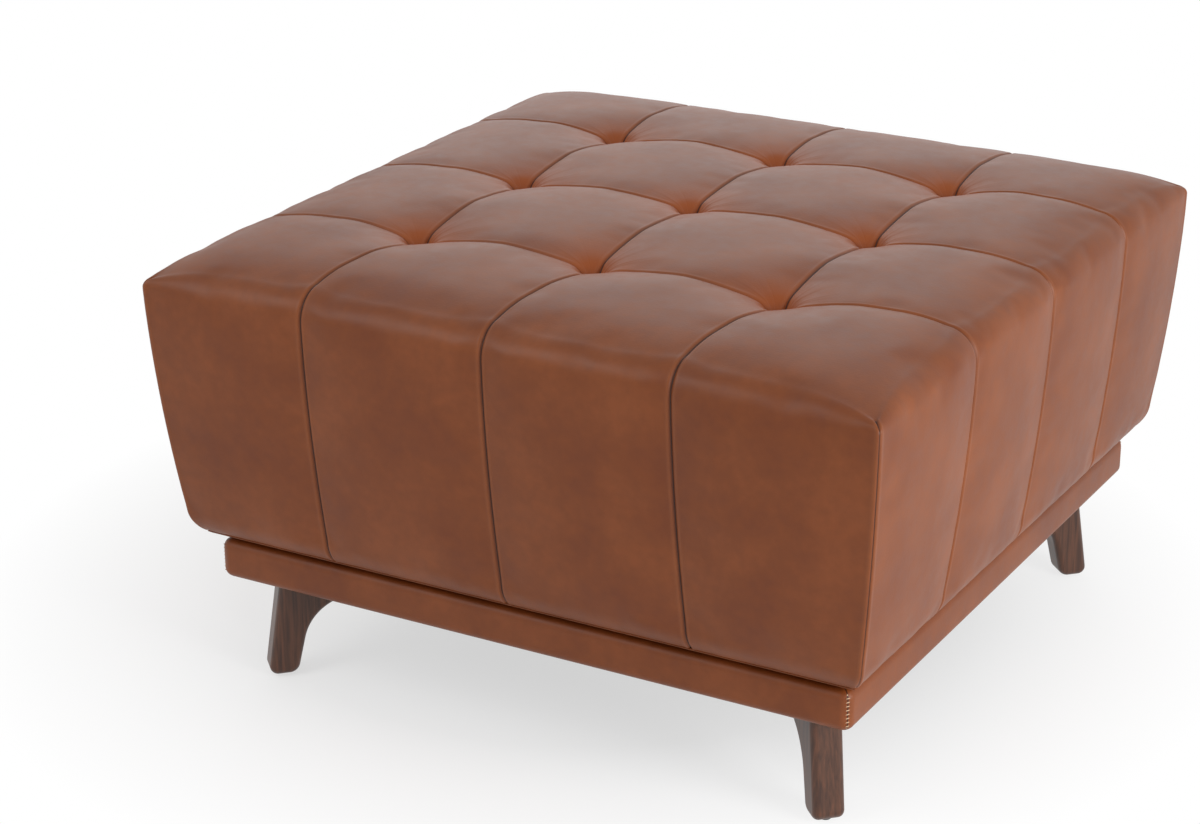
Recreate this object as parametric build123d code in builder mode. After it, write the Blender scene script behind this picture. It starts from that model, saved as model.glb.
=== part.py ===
from build123d import *
import math
import os

# Square ottoman coffee table: a panelled, tufted leather cushion over a plywood box,
# on a leather-wrapped plinth with four splayed wooden legs.
# Millimetres, +Z up, origin at the middle of the footprint on the floor.
# The front is -Y, and sides are counted turning left: front, right, back, left.

# Whole piece
overall_width = 812.8
overall_height = 482.6
plinth_underside = 119.4
cut_overrun = 6.0

# Cushion cover
panel_pitch = 207.0
leather_thickness = 1.5
soft_clearance = 0.3
tuft_depth = 42.6
top_channel = 10.6
edge_drop = 8.0
shoulder_radius = 28.0
seam_shoulder_radius = 60.0
side_channel = 4.0
side_draw_in = 19.4
side_bulge = 3.0
roll_radius = 36.7
hem_angle = 50.0
hem_bulge = 1.0
crevice_height = 2.0
seam_section_shares = (0, 0.12, 0.3, 0.5, 0.7, 0.88, 1)
crest_section_shares = (0, 0.2, 0.5, 1)
edge_section_shares = (0.5, 1)

# Cushion box and filling
deck_depth = 82.6
crown_wadding = 12.6
side_wadding = 6.0
foam_draw_in = 18.4
foam_shoulder = 40.0
groove_half_width = 45.0
groove_clearance = 4.0
board_thickness = 15.0
post_size = 45.0
joist_thickness = 18.0
joist_depth = 60.0

# Tufting
twine_radius = 1.2
twine_hole_radius = 2.5
washer_radius = 12.0
washer_thickness = 3.0
washer_hole_radius = 1.4
knot_radius = 3.0

# Plinth
plinth_height = 43.6
plinth_ledge = 15.7
plinth_corner_radius = 10.0
plinth_edge_radius = 8.0
plinth_leather_return = 20.0
rail_thickness = 22.0
corner_block_size = 100.0
dust_cover_thickness = 0.8
dust_cover_inset = 14.0
dust_cover_clearance = 0.5

# Legs
leg_setback = 61.0
leg_thickness = 33.0
leg_top_width = 90.0
leg_foot_width = 32.0
leg_splay = 17.5
leg_wing_depth = 33.7
leg_flare_radius_share = 0.622
leg_flare_reach_share = 0.87
leg_outer_foot_radius = 9.0
leg_inner_foot_radius = 12.0
leg_edge_radius = 7.0
glide_radius = 6.0
glide_thickness = 2.5

# Fasteners
hole_clearance = 0.1
bolt_radius = 3.9
bolt_inset = 28.0
bolt_depth = 40.0
tee_flange_radius = 10.0
tee_barrel_radius = 5.2
tee_barrel_length = 12.0
screw_radius = 2.0
screw_head_radius = 4.5
screw_head_height = 3.0
screw_grip = 11.0
counterbore_radius = 5.5
counterbore_depth = 10.0
screw_edge_distance = 12.5

# Levels and reaches that follow from the sizes above
half_width = overall_width / 2
plinth_top = plinth_underside + plinth_height
hem_level = plinth_top + crevice_height
hem_reach = half_width - side_draw_in - roll_radius
box_reach = hem_reach - soft_clearance
deck_top = overall_height - deck_depth
foam_top = overall_height - crown_wadding
deck_underside = deck_top - board_thickness
base_top = plinth_top + board_thickness
box_inner_reach = box_reach - board_thickness
shoulder_start = half_width - shoulder_radius
crest_reach = (panel_pitch + shoulder_start) / 2
tuft_level = overall_height - tuft_depth
groove_floor = tuft_level - groove_clearance
foam_reach = half_width - foam_draw_in
plinth_reach = box_reach + plinth_ledge
rail_reach = plinth_reach - leather_thickness
rail_inner_reach = rail_reach - rail_thickness
rail_underside = plinth_underside + leather_thickness
rail_top = plinth_top - leather_thickness
leg_outer_top = plinth_reach * math.sqrt(2) - leg_setback
leg_inner_top = leg_outer_top - leg_top_width
leg_outer_foot = leg_outer_top + leg_splay
leg_inner_foot = leg_outer_foot - leg_foot_width
leg_flare_radius = leg_flare_radius_share * leg_top_width
leg_flare_reach = leg_flare_reach_share * leg_top_width
bolt_distance = leg_outer_top - bolt_inset
bolt_hole_radius = bolt_radius + hole_clearance
flange_thickness = plinth_top - rail_top - soft_clearance
glide_distance = (leg_outer_foot + leg_inner_foot) / 2
screw_seat = plinth_underside + counterbore_depth

side_names = ("front", "right", "back", "left")
tuft_places = [(column * panel_pitch, row * panel_pitch) for column in (-1, 0, 1) for row in (-1, 0, 1)]
corners = ((-1, -1, "front_left"), (1, -1, "front_right"), (1, 1, "back_right"), (-1, 1, "back_left"))


def seam_share(place):
    """How far a place across the cover is into a seam: 1 on a seam line, 0 at a crest."""
    distance = abs(place)
    if distance <= panel_pitch:
        return (2 * distance / panel_pitch - 1) ** 2
    return max(0, 1 - (distance - panel_pitch) / (crest_reach - panel_pitch)) ** 2


def edge_fall(place):
    """How far the crown falls towards the outer edge at a place across the cover."""
    run = (abs(place) - crest_reach) / (shoulder_start - crest_reach)
    return edge_drop * min(max(run, 0), 1) ** 2


def side_directions(turn):
    """Directions along and out of the side that is this many quarter turns from the front."""
    along = Vector(1, 0, 0).rotate(Axis.Z, 90 * turn)
    outward = Vector(0, -1, 0).rotate(Axis.Z, 90 * turn)
    return along, outward


def section_plane(turn, place):
    """Upright plane across a side: its x runs outward, its y upward."""
    along, outward = side_directions(turn)
    return Plane(origin=along * place, x_dir=outward, z_dir=-along)


def side_floor_plane(turn, level=0):
    """Level plane whose x runs along a side, with the side at its negative y."""
    along = side_directions(turn)[0]
    return Plane(origin=(0, 0, level), x_dir=along, z_dir=(0, 0, 1))


def corner_direction(column, row):
    """Level unit direction out to a corner."""
    return Vector(column, row, 0).normalized()


def corner_plane(column, row):
    """Upright plane along a diagonal: its x runs out to the corner, its y upward."""
    outward = corner_direction(column, row)
    return Plane(origin=(0, 0, 0), x_dir=outward, z_dir=outward.cross(Vector(0, 0, 1)))


def leg_floor_plane(column, row, distance, level):
    """Level plane on a diagonal, with its x out to the corner."""
    outward = corner_direction(column, row)
    return Plane(origin=outward * distance + Vector(0, 0, level), x_dir=outward, z_dir=(0, 0, 1))


def screw_places(column, row):
    """The two screw places in the corner block at a corner."""
    near_rail = rail_inner_reach - screw_edge_distance
    near_middle = rail_inner_reach - corner_block_size + screw_edge_distance
    return [(column * near_rail, row * near_middle), (column * near_middle, row * near_rail)]


def plinth_block(inset):
    """Rounded square block of the plinth, with all its faces moved inwards by an inset."""
    width = 2 * (plinth_reach - inset)
    with BuildPart() as block:
        with BuildSketch(Plane.XY.offset(plinth_underside + inset)):
            RectangleRounded(width, width, plinth_corner_radius - inset)
        extrude(amount=plinth_height - 2 * inset)
        fillet(block.edges().filter_by(Axis.Z, reverse=True), radius=plinth_edge_radius - inset)
    return block.part


def polar_point(centre, radius, angle):
    """Point at a radius and an angle in degrees from a centre."""
    turn = math.radians(angle)
    return (centre[0] + radius * math.cos(turn), centre[1] + radius * math.sin(turn))


def cover_points(place, inset):
    """Corner and arc points of the cover's cross-section, moved inwards by an inset."""
    seam = seam_share(place)
    top = overall_height - top_channel * seam - edge_fall(place)
    pocket = top_channel + (tuft_depth - 2 * top_channel) * seam
    radius = shoulder_radius + (seam_shoulder_radius - shoulder_radius) * seam
    reach = half_width - side_channel * seam
    shoulder = (reach - radius, top - edge_drop - radius)
    roll = (hem_reach, hem_level + roll_radius)
    roll_start = (roll[0] + roll_radius - side_channel * seam - inset, roll[1])
    side_start = polar_point(shoulder, radius - inset, 0)
    side_middle = (side_start[0] + roll_start[0]) / 2 + side_bulge
    roll_middle = polar_point(roll, roll_radius + hem_bulge - inset, -hem_angle / 2)
    return {
        "inner": (panel_pitch, top - pocket - inset),
        "crest": ((panel_pitch + shoulder[0]) / 2, top - inset),
        "edge": (shoulder[0], top - edge_drop - inset),
        "shoulder": polar_point(shoulder, radius - inset, 45),
        "side_start": side_start,
        "side_middle": (side_middle, (side_start[1] + roll_start[1]) / 2),
        "roll_start": roll_start,
        "roll_middle": (roll_middle[0] - side_channel * seam / 2, roll_middle[1]),
        "hem_seam": polar_point(roll, roll_radius - inset, -hem_angle),
        "strip_middle": polar_point(roll, roll_radius - inset, -(90 + hem_angle) / 2),
        "hem": polar_point(roll, roll_radius - inset, -90),
    }


def cover_line(points):
    """Draw the cover's outline from the inner seam over the shoulder to the hem seam."""
    ThreePointArc(points["inner"], points["crest"], points["edge"])
    ThreePointArc(points["edge"], points["shoulder"], points["side_start"])
    ThreePointArc(points["side_start"], points["side_middle"], points["roll_start"])
    ThreePointArc(points["roll_start"], points["roll_middle"], points["hem_seam"])


def leather_section(turn, place):
    """Cross-section of the leather over one side."""
    outer = cover_points(place, 0)
    lining = cover_points(place, leather_thickness)
    with BuildSketch(section_plane(turn, place)) as section:
        with BuildLine():
            cover_line(outer)
            Line(outer["hem_seam"], lining["hem_seam"])
            cover_line(lining)
            Line(lining["inner"], outer["inner"])
        make_face()
    return section


def centre_section(column, row, place):
    """Cross-section of the leather of a centre panel."""
    seam = seam_share(place)
    crest = overall_height - top_channel * seam
    seam_level = crest - top_channel - (tuft_depth - 2 * top_channel) * seam
    far = row * panel_pitch
    lining_crest = crest - leather_thickness
    lining_seam = seam_level - leather_thickness
    plane = Plane(origin=(column * place, 0, 0), x_dir=(0, 1, 0), z_dir=(1, 0, 0))
    with BuildSketch(plane) as section:
        with BuildLine():
            ThreePointArc((0, seam_level), (far / 2, crest), (far, seam_level))
            Line((far, seam_level), (far, lining_seam))
            ThreePointArc((far, lining_seam), (far / 2, lining_crest), (0, lining_seam))
            Line((0, lining_seam), (0, seam_level))
        make_face()
    return section


def side_wedge(turn, reach, height):
    """Upright wedge that holds one side between the two mitres at its corners."""
    with BuildPart() as wedge:
        with BuildSketch(side_floor_plane(turn)):
            with BuildLine():
                Polyline((0, 0), (reach, -reach), (-reach, -reach), close=True)
            make_face()
        extrude(amount=height)
    return wedge.part


def corner_places():
    """Section places from the last seam, over the crest and the edge, to past the corner."""
    crest = [panel_pitch + (crest_reach - panel_pitch) * share for share in crest_section_shares]
    edge = [crest_reach + (shoulder_start - crest_reach) * share for share in edge_section_shares]
    return crest + edge + [half_width + cut_overrun]


def save(piece, name):
    """Label a finished piece and write it under its own name."""
    piece.part.label = name
    export_step(piece.part, f"parts/{name}.step")


os.makedirs("parts", exist_ok=True)
wedge_reach = half_width + cut_overrun
panel_places = [panel_pitch * share for share in seam_section_shares]

# Leather cover: centre panels between the tufts
for column, row, name in corners:
    with BuildPart() as centre_panel:
        for place in panel_places:
            add(centre_section(column, row, place).sketch)
        loft()
    save(centre_panel, f"leather_centre_{name}")

# Leather cover: edge panels that run over the shoulder and down the side
for turn, side in enumerate(side_names):
    for hand, name in ((-1, side_names[turn - 1]), (1, side_names[(turn + 1) % 4])):
        with BuildPart() as edge_panel:
            for place in panel_places:
                add(leather_section(turn, hand * place).sketch)
            loft()
        save(edge_panel, f"leather_{side}_towards_{name}")

# Leather cover: corner panels, one strip mitred at the corner and its mirror image
for turn, side in enumerate(side_names):
    along, outward = side_directions(turn)
    with BuildPart() as corner_panel:
        for place in corner_places():
            add(leather_section(turn, place).sketch)
        loft()
        add(side_wedge(turn, wedge_reach, overall_height), mode=Mode.INTERSECT)
        mirror(about=Plane(origin=(0, 0, 0), z_dir=along - outward))
    save(corner_panel, f"leather_corner_{side}_{side_names[(turn + 1) % 4]}")

# Hem strips that close the cover under the panels
for turn, side in enumerate(side_names):
    outer = cover_points(crest_reach, 0)
    lining = cover_points(crest_reach, leather_thickness)
    with BuildPart() as hem_strip:
        with BuildSketch(section_plane(turn, 0)):
            with BuildLine():
                ThreePointArc(outer["hem_seam"], outer["strip_middle"], outer["hem"])
                Line(outer["hem"], lining["hem"])
                ThreePointArc(lining["hem"], lining["strip_middle"], lining["hem_seam"])
                Line(lining["hem_seam"], outer["hem_seam"])
            make_face()
        extrude(amount=wedge_reach, both=True)
        add(side_wedge(turn, wedge_reach, overall_height), mode=Mode.INTERSECT)
    save(hem_strip, f"hem_strip_{side}")

# Side foam pads between the box and the cover, mitred at the corners
for turn, side in enumerate(side_names):
    with BuildPart() as side_foam:
        with BuildSketch(section_plane(turn, 0)):
            with BuildLine():
                Polyline(
                    (hem_reach, hem_level + side_wadding),
                    (hem_reach + roll_radius - side_channel - side_wadding, hem_level + roll_radius),
                    (half_width - side_channel - side_wadding, deck_top),
                    (hem_reach, deck_top),
                    close=True,
                )
            make_face()
        extrude(amount=wedge_reach, both=True)
        add(side_wedge(turn, wedge_reach, overall_height), mode=Mode.INTERSECT)
    save(side_foam, f"side_foam_{side}")

# Top foam over the deck, cut with a groove under each seam and a hole for each tufting twine
with BuildPart() as top_foam:
    with BuildSketch(Plane.XY.offset(deck_top)):
        Rectangle(2 * foam_reach, 2 * foam_reach)
    extrude(amount=foam_top - deck_top)
    chamfer(top_foam.faces().sort_by(Axis.Z)[-1].edges(), length=foam_shoulder)
    for plane in (Plane.XZ, Plane.YZ):
        with BuildSketch(plane):
            for seam_line in (-panel_pitch, 0, panel_pitch):
                with BuildLine():
                    Polyline(
                        (seam_line, groove_floor),
                        (seam_line + groove_half_width, foam_top),
                        (seam_line - groove_half_width, foam_top),
                        close=True,
                    )
                make_face()
        extrude(amount=foam_reach, both=True, mode=Mode.SUBTRACT)
    with BuildSketch(Plane.XY.offset(deck_top)):
        with Locations(*tuft_places):
            Circle(twine_hole_radius)
    extrude(amount=deck_depth, mode=Mode.SUBTRACT)
save(top_foam, "top_foam")

# Cushion box: deck, base, side panels, corner posts and joists
with BuildPart() as deck_board:
    with BuildSketch(Plane.XY.offset(deck_underside)):
        Rectangle(2 * box_reach, 2 * box_reach)
        with Locations(*tuft_places):
            Circle(twine_hole_radius, mode=Mode.SUBTRACT)
    extrude(amount=board_thickness)
save(deck_board, "deck_board")

with BuildPart() as base_board:
    with BuildSketch(Plane.XY.offset(plinth_top)):
        Rectangle(2 * box_reach, 2 * box_reach)
    extrude(amount=board_thickness)
    with BuildSketch(Plane.XY.offset(plinth_top)):
        for column, row, name in corners:
            with Locations(*screw_places(column, row)):
                Circle(screw_radius + hole_clearance)
    extrude(amount=screw_grip + soft_clearance, mode=Mode.SUBTRACT)
save(base_board, "base_board")

for turn, side in enumerate(side_names):
    reach = box_inner_reach if turn % 2 else box_reach
    with BuildPart() as box_panel:
        with BuildSketch(side_floor_plane(turn, base_top)):
            with Locations((0, -(box_reach + box_inner_reach) / 2)):
                Rectangle(2 * reach, board_thickness)
        extrude(amount=deck_underside - base_top)
    save(box_panel, f"box_panel_{side}")

for column, row, name in corners:
    post_place = box_inner_reach - post_size / 2
    with BuildPart() as corner_post:
        with BuildSketch(Plane.XY.offset(base_top)):
            with Locations((column * post_place, row * post_place)):
                Rectangle(post_size, post_size)
        extrude(amount=deck_underside - base_top)
    save(corner_post, f"corner_post_{name}")

for row, name in ((-1, "front"), (1, "back")):
    with BuildPart() as deck_joist:
        with BuildSketch(Plane.XY.offset(deck_underside - joist_depth)):
            with Locations((0, row * panel_pitch / 2)):
                Rectangle(2 * box_inner_reach, joist_thickness)
        extrude(amount=joist_depth)
    save(deck_joist, f"deck_joist_{name}")

# Tufting: washers under the deck, and twines knotted below them
washer_underside = deck_underside - washer_thickness
with BuildPart() as tuft_washers:
    with BuildSketch(Plane.XY.offset(washer_underside)):
        with Locations(*tuft_places):
            Circle(washer_radius)
            Circle(washer_hole_radius, mode=Mode.SUBTRACT)
    extrude(amount=washer_thickness)
save(tuft_washers, "tuft_washers")

twine_top = tuft_level - leather_thickness - soft_clearance
knot_level = washer_underside - knot_radius
with BuildPart() as tuft_twines:
    with BuildSketch(Plane.XY.offset(knot_level)):
        with Locations(*tuft_places):
            Circle(twine_radius)
    extrude(amount=twine_top - knot_level)
    with Locations(*[(place[0], place[1], knot_level) for place in tuft_places]):
        Sphere(knot_radius)
save(tuft_twines, "tuft_twines")

# Plinth: leather wrap, rails and corner blocks
for turn, side in enumerate(side_names):
    with BuildPart() as plinth_leather:
        add(plinth_block(0))
        add(plinth_block(leather_thickness), mode=Mode.SUBTRACT)
        with BuildSketch(Plane.XY.offset(plinth_underside)):
            Rectangle(2 * (plinth_reach - plinth_leather_return), 2 * (plinth_reach - plinth_leather_return))
        extrude(amount=plinth_height, mode=Mode.SUBTRACT)
        add(side_wedge(turn, wedge_reach, overall_height), mode=Mode.INTERSECT)
    save(plinth_leather, f"plinth_leather_{side}")

    with BuildPart() as plinth_rail:
        add(plinth_block(leather_thickness))
        with BuildSketch(Plane.XY.offset(plinth_underside)):
            Rectangle(2 * rail_inner_reach, 2 * rail_inner_reach)
        extrude(amount=plinth_height, mode=Mode.SUBTRACT)
        add(side_wedge(turn, wedge_reach, overall_height), mode=Mode.INTERSECT)
    save(plinth_rail, f"plinth_rail_{side}")

for column, row, name in corners:
    block_place = rail_inner_reach - corner_block_size / 2
    bolt_place = corner_direction(column, row) * bolt_distance
    with BuildPart() as corner_block:
        with BuildSketch(Plane.XY.offset(plinth_underside)):
            with Locations((column * block_place, row * block_place)):
                Rectangle(corner_block_size, corner_block_size)
        extrude(amount=rail_top - plinth_underside)
        with Locations((bolt_place.X, bolt_place.Y, rail_top)):
            CounterBoreHole(bolt_hole_radius, tee_barrel_radius + hole_clearance, tee_barrel_length)
        with Locations(*[Location((x, y, plinth_underside), (180, 0, 0)) for x, y in screw_places(column, row)]):
            CounterBoreHole(screw_radius + hole_clearance, counterbore_radius, counterbore_depth)
    save(corner_block, f"corner_block_{name}")

# Dust cover, cut out around the tops of the legs
with BuildPart() as dust_cover:
    with BuildSketch(Plane.XY.offset(plinth_underside - dust_cover_thickness)):
        Rectangle(2 * (plinth_reach - dust_cover_inset), 2 * (plinth_reach - dust_cover_inset))
    extrude(amount=dust_cover_thickness)
    for column, row, name in corners:
        middle = (leg_outer_top + leg_inner_top) / 2
        with BuildSketch(leg_floor_plane(column, row, middle, plinth_underside - dust_cover_thickness)):
            RectangleRounded(
                leg_top_width + 2 * dust_cover_clearance,
                leg_thickness + 2 * dust_cover_clearance,
                leg_edge_radius,
            )
        extrude(amount=dust_cover_thickness, mode=Mode.SUBTRACT)
save(dust_cover, "dust_cover")

# Legs: a straight splayed outer edge, and an inner edge that flares into a wing under the plinth
flare_centre = (leg_outer_top - leg_flare_reach, plinth_underside - leg_wing_depth - leg_flare_radius)
foot_run = leg_inner_foot - flare_centre[0]
foot_drop = flare_centre[1] - glide_thickness
tangent_angle = math.degrees(math.acos(leg_flare_radius / math.hypot(foot_run, foot_drop)))
flare_angle = tangent_angle - math.degrees(math.atan2(foot_drop, foot_run))
flare_start = polar_point(flare_centre, leg_flare_radius, flare_angle)
flare_middle = polar_point(flare_centre, leg_flare_radius, (90 + flare_angle) / 2)
flare_end = polar_point(flare_centre, leg_flare_radius, 90)
for column, row, name in corners:
    with BuildPart() as leg:
        with BuildSketch(corner_plane(column, row)):
            with BuildLine():
                Polyline(
                    flare_end,
                    (leg_inner_top, flare_end[1]),
                    (leg_inner_top, plinth_underside),
                    (leg_outer_top, plinth_underside),
                    (leg_outer_foot, glide_thickness),
                    (leg_inner_foot, glide_thickness),
                    flare_start,
                )
                ThreePointArc(flare_start, flare_middle, flare_end)
            make_face()
            fillet(vertices().sort_by(Axis.X)[-1], radius=leg_outer_foot_radius)
            fillet(vertices().group_by(Axis.Y)[0].sort_by(Axis.X)[0], radius=leg_inner_foot_radius)
        extrude(amount=leg_thickness / 2, both=True)
        top_edges = leg.faces().sort_by(Axis.Z)[-1].edges()
        flat_sides = leg.faces().filter_by(Axis((0, 0, 0), corner_plane(column, row).z_dir))
        rounded = [edge for side in flat_sides for edge in side.edges() if edge not in top_edges]
        fillet(rounded, radius=leg_edge_radius)
        with Locations(leg_floor_plane(column, row, bolt_distance, plinth_underside)):
            Hole(bolt_hole_radius, depth=bolt_depth + soft_clearance)
    save(leg, f"leg_{name}")

# Glides under the feet
with BuildPart() as leg_glides:
    for column, row, name in corners:
        with BuildSketch(leg_floor_plane(column, row, glide_distance, 0)):
            Circle(glide_radius)
    extrude(amount=glide_thickness)
save(leg_glides, "leg_glides")

# Fasteners: leg bolts, their tee nuts and the screws between plinth and cushion box
with BuildPart() as leg_bolts:
    for column, row, name in corners:
        with BuildSketch(leg_floor_plane(column, row, bolt_distance, plinth_underside - bolt_depth)):
            Circle(bolt_radius)
    extrude(amount=bolt_depth + rail_top + flange_thickness - plinth_underside)
save(leg_bolts, "leg_bolts")

with BuildPart() as leg_tee_nuts:
    for column, row, name in corners:
        with BuildSketch(leg_floor_plane(column, row, bolt_distance, rail_top - tee_barrel_length)):
            Circle(tee_barrel_radius)
    extrude(amount=tee_barrel_length)
    for column, row, name in corners:
        with BuildSketch(leg_floor_plane(column, row, bolt_distance, rail_top)):
            Circle(tee_flange_radius)
    extrude(amount=flange_thickness)
    for column, row, name in corners:
        with BuildSketch(leg_floor_plane(column, row, bolt_distance, rail_top - tee_barrel_length)):
            Circle(bolt_hole_radius)
    extrude(amount=tee_barrel_length + flange_thickness, mode=Mode.SUBTRACT)
save(leg_tee_nuts, "leg_tee_nuts")

all_screw_places = [place for column, row, name in corners for place in screw_places(column, row)]
with BuildPart() as frame_screws:
    with BuildSketch(Plane.XY.offset(screw_seat - screw_head_height)):
        with Locations(*all_screw_places):
            Circle(screw_head_radius)
    extrude(amount=screw_head_height)
    with BuildSketch(Plane.XY.offset(screw_seat)):
        with Locations(*all_screw_places):
            Circle(screw_radius)
    extrude(amount=plinth_top + screw_grip - screw_seat)
save(frame_screws, "frame_screws")
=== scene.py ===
# %% [markdown]
# # A tufted leather ottoman
# This lesson dresses the frame of a square ottoman coffee table. The frame already holds the real
# pieces at their real size, so the lesson adds what a frame cannot show: a stuffed and sewn leather
# cushion, the finish of each surface, the hand stitching, and a plain white studio.

# %% Load the frame
import math

import bpy
import bmesh
from mathutils import Matrix, Vector


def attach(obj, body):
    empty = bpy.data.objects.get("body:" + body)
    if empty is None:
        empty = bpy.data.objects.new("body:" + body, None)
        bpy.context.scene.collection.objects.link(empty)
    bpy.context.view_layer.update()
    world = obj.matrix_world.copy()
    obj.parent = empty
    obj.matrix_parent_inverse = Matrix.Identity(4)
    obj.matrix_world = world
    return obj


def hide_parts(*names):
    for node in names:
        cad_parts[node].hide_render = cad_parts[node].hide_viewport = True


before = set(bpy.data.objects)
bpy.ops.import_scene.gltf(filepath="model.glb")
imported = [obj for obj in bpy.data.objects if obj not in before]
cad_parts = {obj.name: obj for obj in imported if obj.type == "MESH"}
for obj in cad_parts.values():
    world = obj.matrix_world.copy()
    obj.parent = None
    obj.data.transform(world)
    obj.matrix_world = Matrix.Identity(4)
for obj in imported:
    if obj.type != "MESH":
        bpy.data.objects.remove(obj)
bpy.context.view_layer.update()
MM = 0.001
print("frame nodes:", len(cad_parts))

# %% [markdown]
# The camera comes first, because every later choice is judged through it. Its place was found by
# matching the corners of the ottoman in the photograph, which is 1200 pixels wide. A long lens far
# away keeps the square from looking stretched.

# %% Camera
CAMERA_PLACE = (1.37032, -2.57408, 1.41125)
CAMERA_AZIMUTH = 29.95
CAMERA_ELEVATION = 21.72
CAMERA_ROLL = -0.39
FOCAL_PIXELS = 2893.35
IMAGE_WIDTH = 1200
SENSOR_WIDTH = 36.0

lens_data = bpy.data.cameras.new("studio_camera")
lens_data.sensor_width = SENSOR_WIDTH
lens_data.lens = FOCAL_PIXELS * SENSOR_WIDTH / IMAGE_WIDTH
camera = bpy.data.objects.new("studio_camera", lens_data)
bpy.context.collection.objects.link(camera)
camera.matrix_world = (
    Matrix.Translation(CAMERA_PLACE)
    @ Matrix.Rotation(math.radians(CAMERA_AZIMUTH), 4, "Z")
    @ Matrix.Rotation(math.radians(90 - CAMERA_ELEVATION), 4, "X")
    @ Matrix.Rotation(math.radians(CAMERA_ROLL), 4, "Z")
)
bpy.context.scene.camera = camera
print("lens in mm:", round(lens_data.lens, 1))

# %% [markdown]
# A few small helpers are used by every material. Colours are written as the hex values that a screen
# shows, and Blender mixes light in linear numbers, so one function turns the first into the second.
# Another adds a shader node, sets its values and links its inputs in one call.

# %% Helpers for colours and nodes
def screen_colour(hex_code):
    """Turn a screen colour such as #8A4E33 into Blender's linear RGBA."""
    channels = [int(hex_code[start:start + 2], 16) / 255 for start in (1, 3, 5)]
    linear = [c / 12.92 if c <= 0.04045 else ((c + 0.055) / 1.055) ** 2.4 for c in channels]
    return (*linear, 1.0)


def add_node(tree, kind, values=None, links=None, **settings):
    """Add a shader node with its settings, input values and input links."""
    made = tree.nodes.new(kind)
    for name, setting in settings.items():
        setattr(made, name, setting)
    for socket, value in (values or {}).items():
        made.inputs[socket].default_value = value
    for socket, source in (links or {}).items():
        tree.links.new(source, made.inputs[socket])
    return made


def new_material(name, **constants):
    """Start a material with its output and a main shader that holds the constant values."""
    material = bpy.data.materials.new(name)
    material.use_nodes = True
    tree = material.node_tree
    tree.nodes.clear()
    values = {key.replace("_", " "): value for key, value in constants.items()}
    shader = add_node(tree, "ShaderNodeBsdfPrincipled", values)
    add_node(tree, "ShaderNodeOutputMaterial", links={"Surface": shader.outputs["BSDF"]})
    return material, tree, shader


def set_stops(ramp, stops):
    """Give a colour ramp its places and screen colours."""
    elements = ramp.color_ramp.elements
    while len(elements) < len(stops):
        elements.new(0.5)
    for element, (place, colour) in zip(elements, stops):
        element.position = place
        element.color = screen_colour(colour)
    return ramp.outputs["Color"]


MIX_FACTOR, MIX_FIRST, MIX_SECOND, MIX_RESULT = 0, 6, 7, 2


def mix_colours(tree, factor, first, hex_code):
    """Mix a colour towards a screen colour; the numbers are the colour sockets of a Mix node."""
    mixer = add_node(
        tree,
        "ShaderNodeMix",
        {MIX_SECOND: screen_colour(hex_code)},
        {MIX_FACTOR: factor, MIX_FIRST: first},
        data_type="RGBA",
    )
    return mixer.outputs[MIX_RESULT]


print("white is", screen_colour("#FFFFFF"))

# %% [markdown]
# The leather is a semi-aniline brown hide: dyed through, with a thin wax finish. It shows soft
# clouds where the dye took differently, darker lines where it is sewn, which are painted shade, and
# a fine pebbled grain. Clouds of two sizes are mixed for the colour, and a cell pattern makes the
# grain, drawn at 2 mm, a little coarser than life, so that it shows. On the cover, the tuft pockets
# are painted a brighter orange: partly the lighter dye of the stretched, unworn hide, and partly
# painted light, the colour the pockets show where they catch no sheen. The lips beside the seams
# get a pale band, partly wear and partly a painted highlight. Small creases run out of each tuft.
# They are a noise that depends on the angle round the nearest tuft, so the place is wrapped on the
# panel's width.

# %% Leather
CLOUD_SIZE = 80 * MM
MOTTLE_SIZE = 12 * MM
GRAIN_SIZE = 2.0 * MM
GRAIN_RELIEF = 0.3 * MM
BROAD_SHARE, FINE_SHARE = 0.7, 0.3
DYE_STOPS = [(0.34, "#723714"), (0.5, "#7B3E17"), (0.66, "#86461E")]
# The pocket colour is partly painted light, the seam shade is painted shade, and the lip colour is partly a
# painted highlight.
POCKET_DYE_AND_PAINTED_LIGHT, SEAM_SHADE, WORN_LIP_AND_HIGHLIGHT = "#A6521C", "#2A0F06", "#A8663F"
SHADE_START, SHADE_FULL = 0.45, 0.9
GLOSSY_ROUGHNESS, DULL_ROUGHNESS = 0.38, 0.52
PANEL_PITCH = 207.0 * MM
CREASES_ROUND = 26.0
CREASE_RELIEF = 2.0 * MM


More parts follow.
